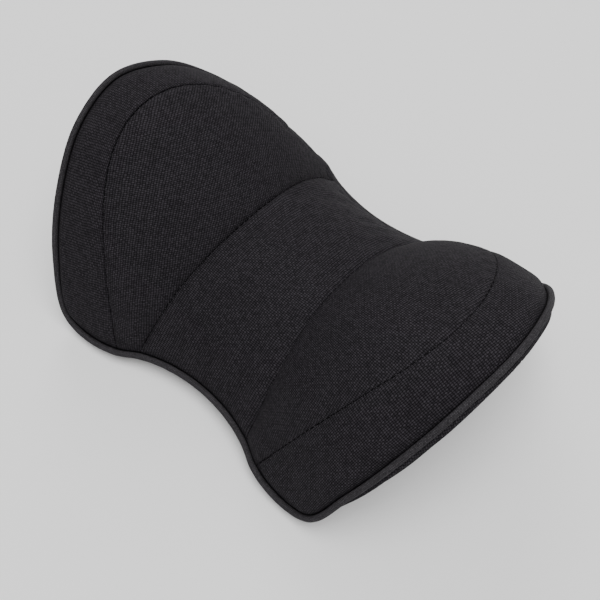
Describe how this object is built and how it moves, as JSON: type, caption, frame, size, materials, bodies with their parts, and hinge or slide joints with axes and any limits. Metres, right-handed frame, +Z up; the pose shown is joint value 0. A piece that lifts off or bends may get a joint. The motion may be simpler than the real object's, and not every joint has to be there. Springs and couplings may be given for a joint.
{
  "type": "instrument shoulder rest cushion",
  "caption": "Saddle-shaped padded rest for a violin: firm foam in a piped black woven cover, dipped along its length over an arched underside, with a zip below.",
  "frame": {"origin": "on the surface the rest stands on, under the middle of the cushion", "axes": "+X along the length towards the end where the closed zip's slider is, +Y across, +Z up"},
  "size_m": [0.2088, 0.1498, 0.0786],
  "materials": {
    "foam": "open-cell grey foam",
    "woven_cover": "black coarse plain weave",
    "piping_tape": "black fine-ribbed piping tape",
    "piping_cord": "polyethylene cord",
    "zip_tape": "black woven tape",
    "zip_coil": "black nylon coil",
    "coated_metal": "black coated zinc"
  },
  "bodies": {
    "cushion": {"foam_core": "foam", "left_end_band": "woven_cover", "left_wing_panel": "woven_cover", "centre_panel": "woven_cover", "right_wing_panel": "woven_cover", "right_end_band": "woven_cover", "underside_front_panel": "woven_cover", "underside_back_panel": "woven_cover", "piping_wrap": "piping_tape", "piping_cord": "piping_cord", "zip_tape_front": "zip_tape", "zip_tape_back": "zip_tape", "zip_teeth_front": "zip_coil", "zip_teeth_back": "zip_coil", "zip_top_stop_front": "coated_metal", "zip_top_stop_back": "coated_metal", "zip_bottom_stop": "coated_metal"},
    "slider": {"zip_slider": "coated_metal"},
    "puller": {"zip_puller": "coated_metal"}
  },
  "joints": [
    {"name": "zip_slide", "type": "slide", "parent": "cushion", "child": "slider", "axis": [-1, 0, 0], "range_m": [0, 0.091]},
    {"name": "puller_hinge", "type": "hinge", "parent": "slider", "child": "puller", "pos_m": [0.0455, 0, 0.0217], "axis": [0, 1, 0], "range_deg": [-85, 85]}
  ]
}
